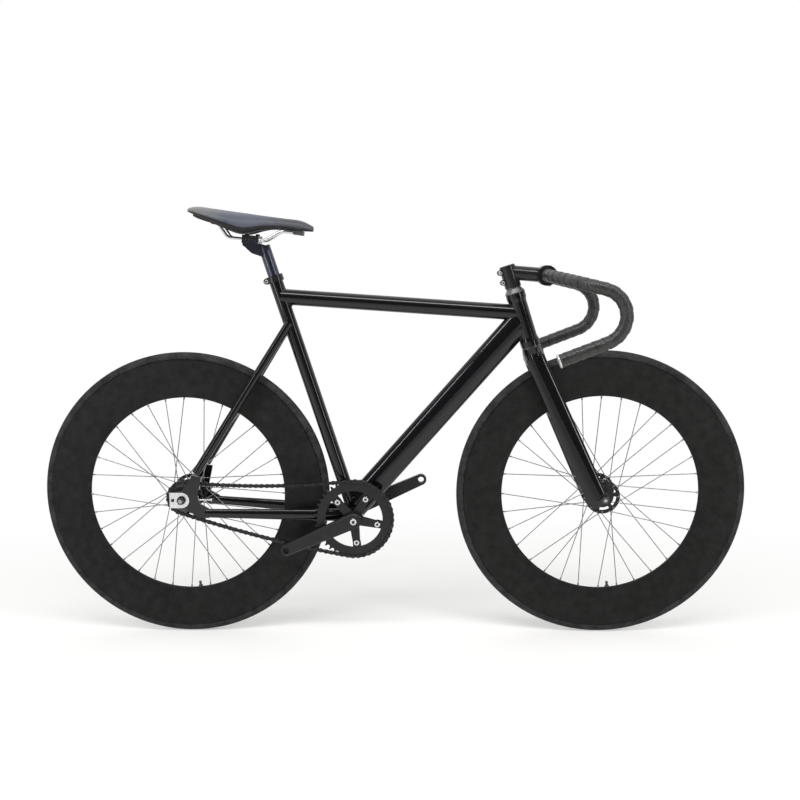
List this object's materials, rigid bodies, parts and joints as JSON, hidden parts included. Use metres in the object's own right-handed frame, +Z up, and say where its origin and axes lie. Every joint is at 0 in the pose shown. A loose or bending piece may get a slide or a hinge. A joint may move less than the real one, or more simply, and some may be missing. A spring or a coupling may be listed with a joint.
{
  "type": "fixed gear bicycle",
  "caption": "Fixed gear track bicycle with a gloss black frame, deep section rims, wrapped drop bars, a slim saddle and a single chain drive without brakes.",
  "frame": {"origin": "on the ground, half way between the axles, in the middle plane", "axes": "+X forward, +Y to the rider's left, +Z up"},
  "size_m": [1.6319, 0.4092, 0.997],
  "materials": {
    "frame_paint": "gloss black lacquer",
    "black_alloy": "satin black",
    "grey_alloy": "matte grey",
    "steel": "bright steel",
    "silver_steel": "bright plated",
    "chain_steel": "oiled steel",
    "spoke_steel": "dark steel",
    "rim_black": "matte black",
    "tyre_rubber": "matte black rubber",
    "tube_rubber": "matte black rubber",
    "saddle_cover": "dark grey cover",
    "saddle_plastic": "moulded black",
    "bar_tape": "dark padded tape",
    "plug_plastic": "pale gloss"
  },
  "bodies": {
    "frame": {"head_tube": "frame_paint", "headset_bearings": "steel", "bottom_bracket_shell": "frame_paint", "seat_tube": "frame_paint", "down_tube": "frame_paint", "top_tube": "frame_paint", "frame_bridges": "frame_paint", "rear_dropout_left": "frame_paint", "rear_dropout_right": "frame_paint", "chain_stay_left": "frame_paint", "chain_stay_right": "frame_paint", "seat_stay_left": "frame_paint", "seat_stay_right": "frame_paint", "chain_tensioners": "silver_steel", "rear_axle": "steel", "rear_axle_nuts": "steel", "bottom_bracket_cups": "black_alloy", "seat_collar": "black_alloy", "chain": "chain_steel"},
    "steering": {"fork_crown": "frame_paint", "fork_blade_left": "frame_paint", "fork_blade_right": "frame_paint", "crown_race": "steel", "headset_cover": "grey_alloy", "headset_top_cap": "black_alloy", "stem": "black_alloy", "stem_faceplate": "black_alloy", "stem_bolts": "steel", "handlebar": "black_alloy", "bar_tape_left": "bar_tape", "bar_tape_right": "bar_tape", "bar_end_plugs": "plug_plastic", "front_axle": "steel", "front_axle_nuts": "steel"},
    "front_wheel": {"front_tyre": "tyre_rubber", "front_inner_tube": "tube_rubber", "front_rim": "rim_black", "front_spokes": "spoke_steel", "front_hub_shell": "black_alloy", "front_hub_bearings": "steel"},
    "rear_wheel": {"rear_tyre": "tyre_rubber", "rear_inner_tube": "tube_rubber", "rear_rim": "rim_black", "rear_spokes": "spoke_steel", "rear_hub_shell": "black_alloy", "rear_hub_bearings": "steel", "rear_sprocket": "steel", "sprocket_lockring": "steel"},
    "crankset": {"crank_spindle": "steel", "crank_arm_left": "black_alloy", "crank_arm_right": "black_alloy", "chainring": "black_alloy", "crankset_bolts": "steel"},
    "seat": {"seatpost": "black_alloy", "rail_clamp": "black_alloy", "rail_clamp_bolts": "steel", "saddle_pad": "saddle_cover", "saddle_shell": "saddle_plastic", "saddle_rails": "steel"}
  },
  "joints": [
    {"name": "steering_turn", "type": "hinge", "parent": "frame", "child": "steering", "pos_m": [0.43095, 0, 0.318], "axis": [-0.299, 0, 0.9542], "range_deg": [-70, 70]},
    {"name": "front_wheel_spin", "type": "hinge", "parent": "steering", "child": "front_wheel", "pos_m": [0.482, 0, 0.334], "axis": [0, 1, 0], "continuous": true},
    {"name": "crank_spin", "type": "hinge", "parent": "frame", "child": "crankset", "pos_m": [-0.08911, 0, 0.284], "axis": [0, 1, 0], "continuous": true, "deforming": ["chain"]},
    {"name": "rear_wheel_spin", "type": "hinge", "parent": "frame", "child": "rear_wheel", "pos_m": [-0.482, 0, 0.334], "axis": [0, 1, 0], "continuous": true, "deforming": ["chain"]},
    {"name": "seatpost_slide", "type": "slide", "parent": "frame", "child": "seat", "axis": [-0.304, 0, 0.9527], "range_m": [-0.03, 0.07]}
  ],
  "couplings": [
    {"joint": "rear_wheel_spin", "follows": "crank_spin", "ratio": 2.4444}
  ]
}
